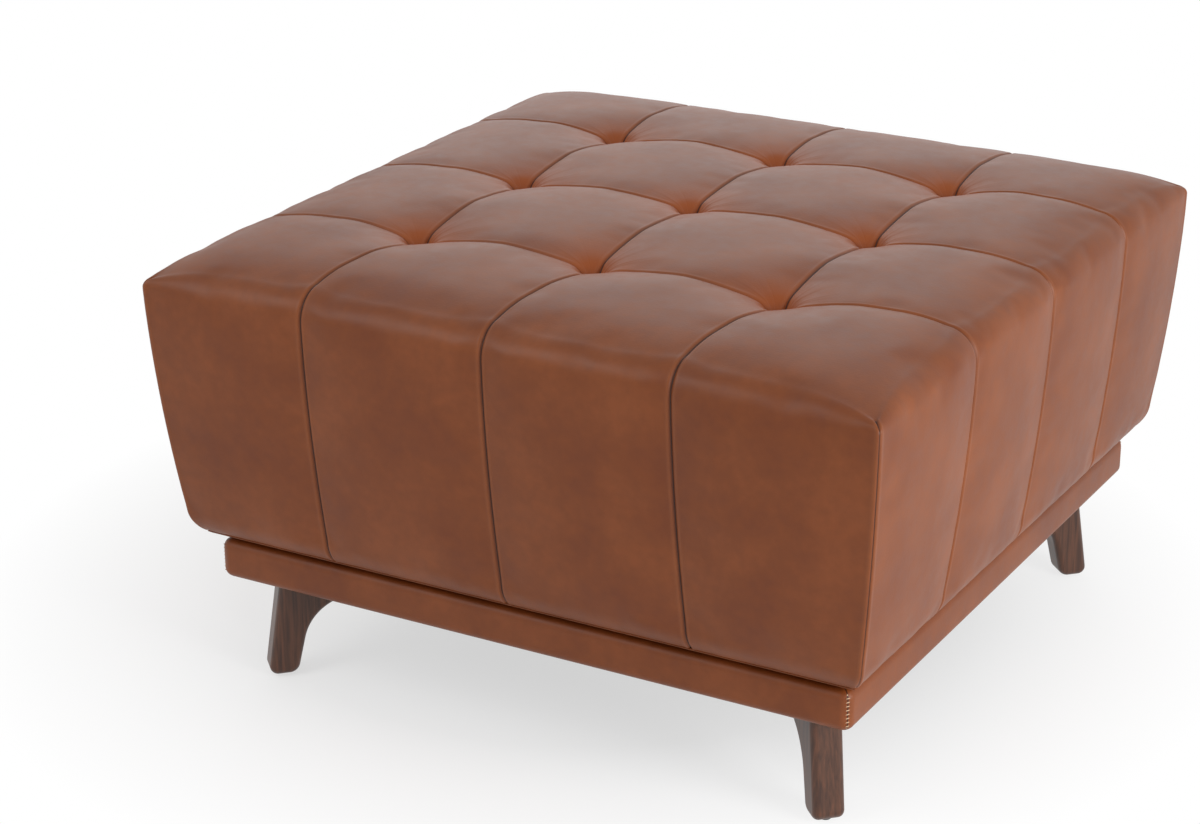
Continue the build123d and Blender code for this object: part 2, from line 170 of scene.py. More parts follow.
def make_leather(name, sewn):
    """Waxed brown leather; on the sewn pieces the mesh says where the seams are."""
    material, tree, shader = new_material(name, IOR=1.4)
    place = add_node(tree, "ShaderNodeTexCoord").outputs["Object"]
    clouds = add_node(
        tree, "ShaderNodeTexNoise", {"Scale": 1 / CLOUD_SIZE, "Detail": 4.0}, {"Vector": place}
    ).outputs["Fac"]
    mottle = add_node(
        tree, "ShaderNodeTexNoise", {"Scale": 1 / MOTTLE_SIZE, "Detail": 5.0}, {"Vector": place}
    ).outputs["Fac"]
    small = add_node(tree, "ShaderNodeMath", {1: FINE_SHARE}, {0: mottle}, operation="MULTIPLY")
    cloudiness = add_node(
        tree, "ShaderNodeMath", {1: BROAD_SHARE}, {0: clouds, 2: small.outputs[0]}, operation="MULTIPLY_ADD"
    )
    ramp = add_node(tree, "ShaderNodeValToRGB", links={"Fac": cloudiness.outputs[0]})
    colour = set_stops(ramp, DYE_STOPS)
    if sewn:
        groove, rub_and_highlight, pocket = [
            add_node(tree, "ShaderNodeAttribute", attribute_name=name).outputs["Fac"]
            for name in ("groove", "rub_and_highlight", "pocket")
        ]
        groove = add_node(
            tree, "ShaderNodeMapRange", {"From Min": SHADE_START, "From Max": SHADE_FULL}, {"Value": groove}
        ).outputs["Result"]
        # Painted light: the pockets are painted a brighter orange, partly for the stretched hide and partly
        # for the sheen they do not catch.
        colour = mix_colours(tree, pocket, colour, POCKET_DYE_AND_PAINTED_LIGHT)
        # Painted shade: the seam lines and the bottoms of the tufts are painted dark.
        colour = mix_colours(tree, groove, colour, SEAM_SHADE)
        # The seam lips get a pale band, partly wear and partly a painted highlight.
        colour = mix_colours(tree, rub_and_highlight, colour, WORN_LIP_AND_HIGHLIGHT)
    tree.links.new(colour, shader.inputs["Base Color"])
    roughness = add_node(
        tree, "ShaderNodeMapRange", {"To Min": GLOSSY_ROUGHNESS, "To Max": DULL_ROUGHNESS}, {"Value": mottle}
    )
    tree.links.new(roughness.outputs["Result"], shader.inputs["Roughness"])
    grain = add_node(
        tree, "ShaderNodeTexVoronoi", {"Scale": 1 / GRAIN_SIZE}, {"Vector": place}, feature="SMOOTH_F1"
    )
    bump = add_node(
        tree, "ShaderNodeBump", {"Strength": 0.2, "Distance": GRAIN_RELIEF},
        {"Height": grain.outputs["Distance"]},
    )
    if sewn:
        wrap_ends = {1: (PANEL_PITCH / 2,) * 3, 2: (-PANEL_PITCH / 2,) * 3}
        around = add_node(tree, "ShaderNodeVectorMath", wrap_ends, {0: place}, operation="WRAP")
        turn = add_node(
            tree, "ShaderNodeTexGradient", links={"Vector": around.outputs[0]}, gradient_type="RADIAL"
        )
        rays = add_node(
            tree, "ShaderNodeTexNoise", {"Scale": CREASES_ROUND, "Detail": 2.0}, {"W": turn.outputs["Fac"]},
            noise_dimensions="1D",
        )
        folds = add_node(
            tree, "ShaderNodeMath", links={0: rays.outputs["Fac"], 1: pocket}, operation="MULTIPLY"
        )
        bump = add_node(
            tree, "ShaderNodeBump", {"Strength": 0.6, "Distance": CREASE_RELIEF},
            {"Height": folds.outputs[0], "Normal": bump.outputs["Normal"]},
        )
    tree.links.new(bump.outputs["Normal"], shader.inputs["Normal"])
    return material


cover_leather = make_leather("waxed_brown_leather_sewn", True)
trim_leather = make_leather("waxed_brown_leather", False)
print("leathers:", cover_leather.name, trim_leather.name)

# %% [markdown]
# The cushion cover is one skin of sixteen sewn panels over foam. It is made as a flat grid whose
# outer ring is drawn down over the shoulder and the sides, ring by ring. Each point remembers which
# line of the grid and which ring it belongs to, so its place follows from the sizes of the real
# cover, and the seams, which lie on known lines, can be worked on after the leather is inflated.

# %% Sizes of the cushion
HALF_WIDTH = 406.4 * MM
SHOULDER_RADIUS = 24.0 * MM
SEAM_SHOULDER_RADIUS = 33.0 * MM
CORNER_SHOULDER_RADIUS = 9.0 * MM
SIDE_CHANNEL = 3.5 * MM
SIDE_SHARPNESS = 4

# Cells of the grid across a centre panel and across an outer panel, and rings down the side
PANEL_CELLS = 26
OUTER_CELLS = 22
EDGE_LINE = PANEL_CELLS + OUTER_CELLS
SHOULDER_RINGS = 8
SIDE_RINGS = 22
ROLL_RINGS = 6
LAST_RING = SHOULDER_RINGS + SIDE_RINGS + ROLL_RINGS
print("cells across:", 2 * EDGE_LINE, "rings down:", LAST_RING)

# %% [markdown]
# The next functions turn a grid line into its place on the cover. The panels' seams lie on the
# middle line and on the lines 26 cells to each side, and the outer panels reach on to the edge.

# %% Lines of the cover
def outer_share(line):
    """How far out on the outer panel a grid line is, from 0 at its seam to 1 at the edge."""
    return max(0.0, (abs(line) - PANEL_CELLS) / OUTER_CELLS)


def seam_nearness(line):
    """1 on a seam line, falling evenly to 0 at the crest between two seams."""
    if abs(line) <= PANEL_CELLS:
        return abs(2 * abs(line) / PANEL_CELLS - 1)
    return max(0.0, 1 - 2 * outer_share(line))


def seam_share(line):
    """The same, but falling fast, for the narrow channel of a side seam."""
    return seam_nearness(line) ** SIDE_SHARPNESS


def corner_share(line):
    """0 along the edge, rising to 1 at the corner of the cushion."""
    return max(0.0, 2 * outer_share(line) - 1) ** 2


def shoulder_radius(line):
    """The shoulder is full along a panel, tight at the corner and soft where a seam turns down."""
    to_seam = (SEAM_SHOULDER_RADIUS - SHOULDER_RADIUS) * seam_share(line)
    to_corner = (CORNER_SHOULDER_RADIUS - SHOULDER_RADIUS) * corner_share(line)
    return SHOULDER_RADIUS + to_seam + to_corner


def shoulder_start(line):
    """How far out the flat top reaches before the shoulder bends down."""
    return HALF_WIDTH - SIDE_CHANNEL * seam_share(line) - shoulder_radius(line)


def spread(line, edge_reach):
    """Place of a grid line whose outermost line lies at edge_reach."""
    if abs(line) <= PANEL_CELLS:
        return line / PANEL_CELLS * PANEL_PITCH
    return math.copysign(PANEL_PITCH + (edge_reach - PANEL_PITCH) * outer_share(line), line)


print("flat top along a panel reaches to mm:", round(shoulder_start(PANEL_CELLS / 2) / MM, 1))

# %% [markdown]
# The top is a low dome. Each panel swells a little between its seams, and where seams cross it is
# drawn down by a tuft, firmly near the rim and less in the middle.

# %% Shape of the top
CROWN_LEVEL = 490.0 * MM
DOME_FALL = 13.0 * MM
RIM_FALL = 5.0 * MM
RIM_START = 0.85
DOME_REACH = 378.0 * MM
TOP_CHANNEL = 2.8 * MM
CHANNEL_SHARPNESS = 6
EDGE_EASE = 0.7
TUFT_PULL = 16.0 * MM
TUFT_SHARPNESS = 1.5
TUFT_EASE = 0.55
PINCH_DEPTH = 22.0 * MM
PINCH_REACH = 10.0 * MM


def dome_fall(reach):
    """How far the stuffed top falls from its middle towards the rim."""
    share = abs(reach) / DOME_REACH
    return DOME_FALL * share ** 3 + RIM_FALL * (max(0.0, share - RIM_START) / (1 - RIM_START)) ** 2


def nearest_seam(line):
    """Number of the nearest seam: -1, 0 or 1."""
    return min(max(round(line / PANEL_CELLS), -1), 1)


def top_level(line_x, line_y):
    """Height of the domed, pillowed top, pulled down where two seams cross."""
    place_x = spread(line_x, shoulder_start(line_y))
    place_y = spread(line_y, shoulder_start(line_x))
    near_x, near_y = seam_nearness(line_x), seam_nearness(line_y)
    level = CROWN_LEVEL - math.hypot(dome_fall(place_x), dome_fall(place_y))
    channel_x = near_x ** CHANNEL_SHARPNESS * (1 - EDGE_EASE * outer_share(line_y))
    channel_y = near_y ** CHANNEL_SHARPNESS * (1 - EDGE_EASE * outer_share(line_x))
    level -= TOP_CHANNEL * (channel_x + channel_y)
    seam_x, seam_y = nearest_seam(line_x), nearest_seam(line_y)
    firmness = TUFT_EASE + (1 - TUFT_EASE) * (abs(seam_x) + abs(seam_y)) / 2
    level -= TUFT_PULL * firmness * (near_x * near_y) ** TUFT_SHARPNESS
    cells_off = math.hypot(line_x - seam_x * PANEL_CELLS, line_y - seam_y * PANEL_CELLS)
    gap = cells_off * PANEL_PITCH / PANEL_CELLS
    return level - PINCH_DEPTH * math.exp(-((gap / PINCH_REACH) ** 2))


crest = PANEL_CELLS / 2
print("top at a panel's crest in mm:", round(top_level(crest, crest) / MM, 1))
print("top at the middle tuft in mm:", round(top_level(0, 0) / MM, 1))

# %% [markdown]
# Hand-upholstered seams are never quite even. In the photograph the three seams of the front lean to
# the left and those of the right side lean back, and the left end is stuffed fuller, so each seam
# has a lean of its own. It starts at the last tuft, is whole at the shoulder and eases at the hem.

# %% Lean of the seams
FRONT_DRIFT = (-14 * MM, -12 * MM, -14 * MM)
RIGHT_DRIFT = (26 * MM, 15 * MM, 12 * MM)
STRAIGHT = (0.0, 0.0, 0.0)
LEFT_FULLNESS = 8 * MM


def seam_drift(line, drifts, ramp):
    """Sideways lean of the side seams, between those of the three seams and none at the corners."""
    first, middle, last = drifts
    if line < -PANEL_CELLS:
        value = first * (1 - outer_share(line))
    elif line < 0:
        value = middle + (first - middle) * -line / PANEL_CELLS
    elif line <= PANEL_CELLS:
        value = middle + (last - middle) * line / PANEL_CELLS
    else:
        value = last * (1 - outer_share(line))
    return value * ramp * ramp * (3 - 2 * ramp)


def left_swell(line):
    """The left end of the cushion is stuffed a little fuller than the right."""
    return -LEFT_FULLNESS * outer_share(line) ** 2 if line < 0 else 0.0


print("lean of the middle front seam in mm:", round(seam_drift(0, FRONT_DRIFT, 1.0) / MM, 1))

# %% [markdown]
# Down the side, the cover turns over the shoulder, swells a little on its way, and rolls in under
# the edge of the box. The rings are spread over these three stretches.

# %% Shape of the sides
SIDE_BULGE = 3.0 * MM
ROLL_RADIUS = 36.7 * MM
ROLL_CENTRE = (350.3 * MM, 201.7 * MM)
HEM_ANGLE = 50.0
HEM_EASE = 0.6


def side_profile(line, ring):
    """Reach and height of a ring on the side, where this grid line crosses it."""
    share = seam_share(line)
    radius = shoulder_radius(line)
    start = shoulder_start(line)
    top = top_level(line, EDGE_LINE)
    if ring <= SHOULDER_RINGS:
        angle = math.radians(90 * ring / SHOULDER_RINGS)
        return start + radius * math.sin(angle), top - radius * (1 - math.cos(angle))
    roll_start = ROLL_CENTRE[0] + ROLL_RADIUS - SIDE_CHANNEL * share
    if ring <= SHOULDER_RINGS + SIDE_RINGS:
        way = (ring - SHOULDER_RINGS) / SIDE_RINGS
        bulge = SIDE_BULGE * (1 - (2 * way - 1) ** 2)
        reach = (start + radius) * (1 - way) + roll_start * way + bulge
        return reach, (top - radius) * (1 - way) + ROLL_CENTRE[1] * way
    way = (ring - SHOULDER_RINGS - SIDE_RINGS) / ROLL_RINGS
    angle = math.radians(HEM_ANGLE * way)
    reach = ROLL_CENTRE[0] + ROLL_RADIUS * math.cos(angle) - SIDE_CHANNEL * share * (1 - way)
    return reach, ROLL_CENTRE[1] - ROLL_RADIUS * math.sin(angle)


def cover_place(line_x, line_y, ring):
    """Place of one point of the cover, from its grid lines and its ring."""
    if ring == 0:
        place = Vector((
            spread(line_x, shoulder_start(line_y)),
            spread(line_y, shoulder_start(line_x)),
            top_level(line_x, line_y),
        ))
        front_ramp = outer_share(line_y) if line_y < 0 else 0.0
        right_ramp = outer_share(line_x) if line_x > 0 else 0.0
        place.x += seam_drift(line_x, FRONT_DRIFT, front_ramp)
        place.y += seam_drift(line_y, RIGHT_DRIFT, right_ramp)
        place.x += left_swell(line_x)
        return place
    corner_reach = side_profile(EDGE_LINE, ring)[0]
    settled = 1 - HEM_EASE * max(0.0, (ring - SHOULDER_RINGS) / (LAST_RING - SHOULDER_RINGS))
    if abs(line_x) > EDGE_LINE - 0.5:
        reach, level = side_profile(line_y, ring)
        drift = seam_drift(line_y, RIGHT_DRIFT if line_x > 0 else STRAIGHT, settled)
        swell = left_swell(line_x) * settled
        across = math.copysign(reach, line_x) + swell
        return Vector((across, spread(line_y, corner_reach) + drift, level))
    reach, level = side_profile(line_x, ring)
    drift = seam_drift(line_x, FRONT_DRIFT if line_y < 0 else STRAIGHT, settled)
    across = spread(line_x, corner_reach) + drift + left_swell(line_x) * settled
    return Vector((across, math.copysign(reach, line_y), level))


print("hem at mm:", [round(size / MM, 1) for size in side_profile(crest, LAST_RING)])

# %% [markdown]
# Now the grid itself. Its cells are counted from the middle, so a point's first place is also its
# pair of line numbers, which are kept on the point before it moves.

# %% Cut and shape the cover
cover_mesh = bmesh.new()
line_x_of = cover_mesh.verts.layers.float.new("line_x")
line_y_of = cover_mesh.verts.layers.float.new("line_y")
ring_of = cover_mesh.verts.layers.float.new("ring")
bmesh.ops.create_grid(cover_mesh, x_segments=2 * EDGE_LINE, y_segments=2 * EDGE_LINE, size=EDGE_LINE)
for vert in cover_mesh.verts:
    vert[line_x_of] = round(vert.co.x)
    vert[line_y_of] = round(vert.co.y)
rim = [edge for edge in cover_mesh.edges if edge.is_boundary]
for ring in range(1, LAST_RING + 1):
    drawn = bmesh.ops.extrude_edge_only(cover_mesh, edges=rim)["geom"]
    for vert in drawn:
        if isinstance(vert, bmesh.types.BMVert):
            vert[ring_of] = ring
    rim = [edge for edge in drawn if isinstance(edge, bmesh.types.BMEdge) and edge.is_boundary]
for vert in cover_mesh.verts:
    vert.co = cover_place(vert[line_x_of], vert[line_y_of], vert[ring_of])
bmesh.ops.recalc_face_normals(cover_mesh, faces=cover_mesh.faces)
if sum(face.normal.z * face.calc_area() for face in cover_mesh.faces) < 0:
    bmesh.ops.reverse_faces(cover_mesh, faces=cover_mesh.faces)
print("cover points:", len(cover_mesh.verts), "faces:", len(cover_mesh.faces))

# %% [markdown]
# Two helpers tell how near a point is to the seams, counted in cells. On the top two seams can be
# near, one in each direction. On a side there is one, and the corner seam.

# %% Find the seams
SEAM_LINES = (-PANEL_CELLS, 0, PANEL_CELLS)


def side_line(vert):
    """On the sides, the line number along the side that a point is on."""
    if abs(vert[line_x_of]) > EDGE_LINE - 0.5:
        return vert[line_y_of]
    return vert[line_x_of]


def seam_distances(vert):
    """Distances in cells to the nearest seams that cross at this point's part of the cover."""
    if vert[ring_of] == 0:
        lines = (vert[line_x_of], vert[line_y_of])
        return [min(abs(line - seam) for seam in SEAM_LINES) for line in lines]
    line = side_line(vert)
    corner = EDGE_LINE - min(abs(vert[line_x_of]), abs(vert[line_y_of]))
    return [min(abs(line - seam) for seam in SEAM_LINES), corner]


print("seam points:", sum(1 for vert in cover_mesh.verts if min(seam_distances(vert)) == 0))

# %% [markdown]
# The leather is then inflated as cloth. It is cut one percent larger than its shape, so it gathers a
# little beside the seams, as stuffed leather does. The seams and the hem are sewn down and stay. This
# hide is firm and drawn tight, so only a share of the cloth's motion is kept, and never past the cap.

# %% Inflate the cover
MOTION_CAP = 3 * MM
MOTION_SHARE = 0.3
FABRIC_EXCESS = 0.01
CLOTH_FRAMES = 20
LEATHER_CLOTH = {
    "vertex_group_mass": "sewn",
    "quality": 5,
    "mass": 0.6,
    "tension_stiffness": 30,
    "compression_stiffness": 30,
    "shear_stiffness": 12,
    "bending_stiffness": 6,
    "use_pressure": True,
    "uniform_pressure_force": 4,
    "shrink_min": -FABRIC_EXCESS,
}


def is_sewn(vert):
    """True for a point of the hem or of a seam, which stays while the leather inflates."""
    return vert[ring_of] >= LAST_RING or min(seam_distances(vert)) == 0


def inflate(shape):
    """Run the cloth on a copy and return how far each point moved, never past the cap."""
    mesh = bpy.data.meshes.new("cloth_copy")
    shape.to_mesh(mesh)
    copy = bpy.data.objects.new("cloth_copy", mesh)
    bpy.context.collection.objects.link(copy)
    held = copy.vertex_groups.new(name="sewn")
    shape.verts.ensure_lookup_table()
    held.add([vert.index for vert in shape.verts if is_sewn(vert)], 1.0, "REPLACE")
    cloth = copy.modifiers.new("leather", "CLOTH")
    for name, value in LEATHER_CLOTH.items():
        setattr(cloth.settings, name, value)
    cloth.settings.effector_weights.gravity = 0
    cloth.point_cache.frame_start = 1
    cloth.point_cache.frame_end = CLOTH_FRAMES
    for frame_number in range(1, CLOTH_FRAMES + 1):
        bpy.context.scene.frame_set(frame_number)
    evaluated = copy.evaluated_get(bpy.context.evaluated_depsgraph_get())
    moved = []
    for vert, settled in zip(shape.verts, evaluated.data.vertices):
        motion = (settled.co - vert.co) * MOTION_SHARE
        moved.append(motion * min(1.0, MOTION_CAP / max(motion.length, 1e-9)))
    bpy.context.scene.frame_set(1)
    bpy.data.objects.remove(copy)
    return moved


motions = inflate(cover_mesh)
for vert, motion in zip(cover_mesh.verts, motions):
    vert.co += motion
print("largest motion in mm:", round(max(m.length for m in motions) / MM, 2))

# %% [markdown]
# After the cloth come the seams. A seam is finer than the cells of the grid, so the cells beside
# each seam line are first cut five times.

# %% Refine the cells beside the seams
SEAM_CUTS = 5


def crosses_seam_cell(edge):
    """True for an edge that runs from a seam line to the next grid line."""
    first, second = edge.verts
    if first[ring_of] != second[ring_of]:
        return False
    near = seam_distances(first)
    far = seam_distances(second)
    return any(abs(a - b) > 0.5 and min(a, b) == 0 and max(a, b) == 1 for a, b in zip(near, far))


beside_seams = [edge for edge in cover_mesh.edges if crosses_seam_cell(edge)]
bmesh.ops.subdivide_edges(cover_mesh, edges=beside_seams, cuts=SEAM_CUTS, use_grid_fill=True)
print("seam edges divided:", len(beside_seams))

# %% [markdown]
# The points are then pressed in on the line and raised a little beside it, because two folded edges
# meet there. The same distances give the bands that the leather's colour reads: painted shade in the
# seam line and at the bottom of each tuft, and a pale band on the raised lips that is partly wear
# and partly a painted highlight. The pockets of the tufts are where two seams are near at once.

# %% Sew the seams
CELL = PANEL_PITCH / PANEL_CELLS
SEAM_WIDTH = 1.2 * MM
GROOVE_DEPTH = 2.4 * MM
LIP_PLACE = 3.4 * MM
LIP_WIDTH = 1.6 * MM
LIP_HEIGHT = 0.3 * MM
# Strength of the pale lip band, partly wear and partly a painted highlight.
LIP_WEAR_AND_HIGHLIGHT = 0.18
PIT_REACH = 9 * MM


def pit_share(vert):
    """1 at the bottom of a tuft, falling to 0 around it."""
    if vert[ring_of] > 0:
        return 0.0
    return math.exp(-((math.hypot(*seam_distances(vert)) * CELL / PIT_REACH) ** 2))


groove_of = cover_mesh.verts.layers.float.new("groove")
rub_and_highlight_of = cover_mesh.verts.layers.float.new("rub_and_highlight")
pocket_of = cover_mesh.verts.layers.float.new("pocket")
for vert in cover_mesh.verts:
    if vert[ring_of] == 0:
        vert[pocket_of] = (seam_nearness(vert[line_x_of]) * seam_nearness(vert[line_y_of])) ** 2
cover_mesh.normal_update()
pressed = {}
for vert in cover_mesh.verts:
    nearest = min(seam_distances(vert)) * CELL
    if nearest >= CELL:
        continue
    inside = math.exp(-((nearest / SEAM_WIDTH) ** 2))
    beside = math.exp(-(((nearest - LIP_PLACE) / LIP_WIDTH) ** 2))
    # The seam line and the bottom of each tuft are marked for painted shade.
    vert[groove_of] = max(inside, pit_share(vert))
    # The lips beside the seam are marked for a pale band, partly wear and partly a painted highlight.
    vert[rub_and_highlight_of] = LIP_WEAR_AND_HIGHLIGHT * beside
    pressed[vert] = vert.normal * (LIP_HEIGHT * beside - GROOVE_DEPTH * inside)
for vert, push in pressed.items():
    vert.co += push
print("points pressed or raised:", len(pressed))

# %% [markdown]
# The cover is closed over its filling: the hem turns under, and inner walls run up round the box
# and under the deck's foam, so the piece is one closed, stuffed form that rests on the wood.

# %% Close the cover over its filling
INNER_HEM = (350.9 * MM, 167.6 * MM)
INNER_WALL = 350.4 * MM
WALL_FOOT = 172 * MM
CAVITY_TOP = 400.3 * MM
CAVITY_CELLS = 8


def new_rim(made):
    """The open edges among what an extrusion made."""
    return [part for part in made["geom"] if isinstance(part, bmesh.types.BMEdge) and part.is_boundary]


hem_rim = new_rim(
    bmesh.ops.extrude_edge_only(cover_mesh, edges=[edge for edge in cover_mesh.edges if edge.is_boundary])
)
hem_points = {vert for edge in hem_rim for vert in edge.verts}
hem_size = max(abs(vert.co.x) for vert in hem_points)
for vert in hem_points:
    for axis in (0, 1):
        turned_in = vert.co[axis] * INNER_HEM[0] / hem_size
        vert.co[axis] = min(max(turned_in, -INNER_HEM[0]), INNER_HEM[0])
    vert.co.z = INNER_HEM[1]

ceiling = bmesh.ops.create_grid(
    cover_mesh, x_segments=CAVITY_CELLS, y_segments=CAVITY_CELLS, size=INNER_WALL,
    matrix=Matrix.Translation((0, 0, CAVITY_TOP)),
)["verts"]
ceiling_points = set(ceiling)
wall_rim = [
    edge
    for edge in cover_mesh.edges
    if edge.is_boundary and all(vert in ceiling_points for vert in edge.verts)
]
wall_rim = new_rim(bmesh.ops.extrude_edge_only(cover_mesh, edges=wall_rim))
for vert in {vert for edge in wall_rim for vert in edge.verts}:
    vert.co.z = WALL_FOOT
bmesh.ops.bridge_loops(cover_mesh, edges=hem_rim + wall_rim)
bmesh.ops.recalc_face_normals(cover_mesh, faces=cover_mesh.faces)
if cover_mesh.calc_volume(signed=True) < 0:
    bmesh.ops.reverse_faces(cover_mesh, faces=cover_mesh.faces)
print("open edges left:", sum(1 for edge in cover_mesh.edges if edge.is_boundary))

# %% [markdown]
# A finished piece becomes an object at the origin that rides on the part, gets its material, and
# takes the place of the frame nodes that it covers. The cushion stands for the sixteen panels and the
# foam. One level of subdivision rounds its seams.

# %% Finish the cushion cover
def finish_piece(name, shape, material, slot_name, *nodes):
    """Turn a bmesh into a finished piece that rides on the part and replaces its frame nodes."""
    mesh = bpy.data.meshes.new(name)
    shape.to_mesh(mesh)
    shape.free()
    piece = bpy.data.objects.new(name, mesh)
    bpy.context.collection.objects.link(piece)
    mesh.materials.append(material)
    mesh.polygons.foreach_set("use_smooth", [True] * len(mesh.polygons))
    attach(piece, "root")
    if nodes:
        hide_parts(*nodes)
    return piece


def round_off(piece, levels):
    """Smooth a piece with a subdivision surface, the same in the view and the render."""
    smooth = piece.modifiers.new("rounded", "SUBSURF")
    smooth.levels = levels
    smooth.render_levels = levels


node_names = list(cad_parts)
cover_nodes = [name for name in node_names if name.startswith(("leather_", "side_foam", "top_foam"))]
cushion = finish_piece("cushion_cover", cover_mesh, cover_leather, "leather", *cover_nodes)
round_off(cushion, 1)
print("cushion stands for", len(cover_nodes), "nodes")

# %% [markdown]
# The plinth is a wooden ring wrapped in the same leather, joined at each corner by a butt seam
# that is sewn by hand with pale waxed thread. The wrap starts as a block whose top and underside
# are opened and whose edges are rounded.

# %% Wrap the plinth
PLINTH_REACH = 365.7 * MM
PLINTH_FOOT = 119.4 * MM
PLINTH_HEIGHT = 43.6 * MM
PLINTH_CORNER = 12 * MM
PLINTH_EDGE = 10 * MM
LEATHER_RETURN = 20 * MM
CORNER_SEGMENTS = 14
EDGE_SEGMENTS = 6


def height_run(edge):
    """How far an edge climbs."""
    return abs(edge.verts[0].co.z - edge.verts[1].co.z)


wrap_mesh = bmesh.new()
block_size = Matrix.Diagonal((2 * PLINTH_REACH, 2 * PLINTH_REACH, PLINTH_HEIGHT, 1))
block_place = Matrix.Translation((0, 0, PLINTH_FOOT + PLINTH_HEIGHT / 2))
bmesh.ops.create_cube(wrap_mesh, size=1, matrix=block_place @ block_size)
ends = [face for face in wrap_mesh.faces if abs(face.normal.z) > 0.5]
bmesh.ops.inset_individual(wrap_mesh, faces=ends, thickness=LEATHER_RETURN)
bmesh.ops.delete(wrap_mesh, geom=ends, context="FACES_ONLY")
uprights = [edge for edge in wrap_mesh.edges if height_run(edge) > PLINTH_HEIGHT / 2]
rounding = {"profile": 0.5, "affect": "EDGES", "material": -1}
bmesh.ops.bevel(wrap_mesh, geom=uprights, offset=PLINTH_CORNER, segments=CORNER_SEGMENTS, **rounding)
wrap_mesh.normal_update()
rounded = [
    edge for edge in wrap_mesh.edges
    if len(edge.link_faces) == 2 and edge.calc_face_angle() > 1 and height_run(edge) < MM
]
bmesh.ops.bevel(wrap_mesh, geom=rounded, offset=PLINTH_EDGE, segments=EDGE_SEGMENTS, **rounding)
print("wrap faces:", len(wrap_mesh.faces))

# %% [markdown]
# The lining gives the leather its thickness. Each of its rings is drawn from the one before, given
# as its reach from the middle and its height, and the last one is joined to the lower rim. The
# shell is then a closed form. The seams at the corners get the dark shade of a sewn line.

# %% Line the wrap
PLINTH_LINING = (
    (345.7 * MM, 161.5 * MM),
    (354.0 * MM, 161.5 * MM),
    (360.4 * MM, 155.0 * MM),
    (360.4 * MM, 127.4 * MM),
    (354.0 * MM, 120.9 * MM),
    (345.7 * MM, 120.9 * MM),
)
BUTT_SEAM_WIDTH = 1.5 * MM

middle = PLINTH_FOOT + PLINTH_HEIGHT / 2
open_edges = [edge for edge in wrap_mesh.edges if edge.is_boundary]
lining_rim = [edge for edge in open_edges if edge.verts[0].co.z > middle]
lower_rim = [edge for edge in open_edges if edge.verts[0].co.z < middle]
lining_reach = max(vert.co.x for edge in lining_rim for vert in edge.verts)
for reach, level in PLINTH_LINING:
    lining_rim = new_rim(bmesh.ops.extrude_edge_only(wrap_mesh, edges=lining_rim))
    for vert in {vert for edge in lining_rim for vert in edge.verts}:
        vert.co = (vert.co.x * reach / lining_reach, vert.co.y * reach / lining_reach, level)
    lining_reach = reach
bmesh.ops.bridge_loops(wrap_mesh, edges=lining_rim + lower_rim)
wrap_groove = wrap_mesh.verts.layers.float.new("groove")
for vert in wrap_mesh.verts:
    off_seam = abs(abs(vert.co.x) - abs(vert.co.y))
    vert[wrap_groove] = math.exp(-((off_seam / BUTT_SEAM_WIDTH) ** 2))
bmesh.ops.recalc_face_normals(wrap_mesh, faces=wrap_mesh.faces)
if wrap_mesh.calc_volume(signed=True) < 0:
    bmesh.ops.reverse_faces(wrap_mesh, faces=wrap_mesh.faces)
corner_distance = max(vert.co.xy.length for vert in wrap_mesh.verts)
wrap_nodes = [name for name in node_names if name.startswith("plinth_leather")]
plinth_wrap = finish_piece("plinth_wrap", wrap_mesh, cover_leather, "leather", *wrap_nodes)
print("plinth wrap stands for", len(wrap_nodes), "nodes")

# %% [markdown]
# The other frame nodes keep their shape and get the finish of the real material. The legs are wood
# stained dark walnut under satin lacquer, with a fine straight grain that follows their length.

# %% Wood of the legs
GRAIN_WIDTH = 3.0 * MM
GRAIN_LENGTH = 60 * MM


def make_wood(name, stops, roughness, grain_width, grain_length, **constants):
    """Wood with a long grain that runs up the piece."""
    material, tree, shader = new_material(name, Roughness=roughness, **constants)
    place = add_node(tree, "ShaderNodeTexCoord").outputs["Object"]
    stretched = add_node(
        tree,
        "ShaderNodeMapping",
        {"Scale": (1 / grain_width, 1 / grain_width, 1 / grain_length)},
        {"Vector": place},
    )
    fibre_look = {"Scale": 1.0, "Detail": 6.0, "Distortion": 0.4}
    fibres = add_node(tree, "ShaderNodeTexNoise", fibre_look, {"Vector": stretched.outputs[0]})
    ramp = add_node(tree, "ShaderNodeValToRGB", links={"Fac": fibres.outputs["Fac"]})
    tree.links.new(set_stops(ramp, stops), shader.inputs["Base Color"])
    bump = add_node(
        tree, "ShaderNodeBump", {"Strength": 0.15, "Distance": 0.3 * MM}, {"Height": fibres.outputs["Fac"]}
    )
    tree.links.new(bump.outputs["Normal"], shader.inputs["Normal"])
    return material


walnut_stain = make_wood(
    "walnut_stained_satin_lacquer",
    [(0.3, "#3A2015"), (0.5, "#50301F"), (0.7, "#643C28")],
    0.36,
    GRAIN_WIDTH,
    GRAIN_LENGTH,
)
frame_timber = make_wood(
    "sawn_poplar", [(0.3, "#C2A77C"), (0.5, "#D0B78D"), (0.7, "#DAC49C")], 0.7, 5 * MM, 90 * MM
)
plywood = make_wood(
    "birch_plywood", [(0.3, "#C9A877"), (0.5, "#D6B98A"), (0.7, "#E0C79B")], 0.65, 9 * MM, 40 * MM
)
print("woods:", walnut_stain.name, frame_timber.name, plywood.name)

# %% [markdown]
# The hidden and small parts have plain finishes: zinc-plated steel, a black nylon glide, waxed twine
# and a black non-woven cloth under the plinth.

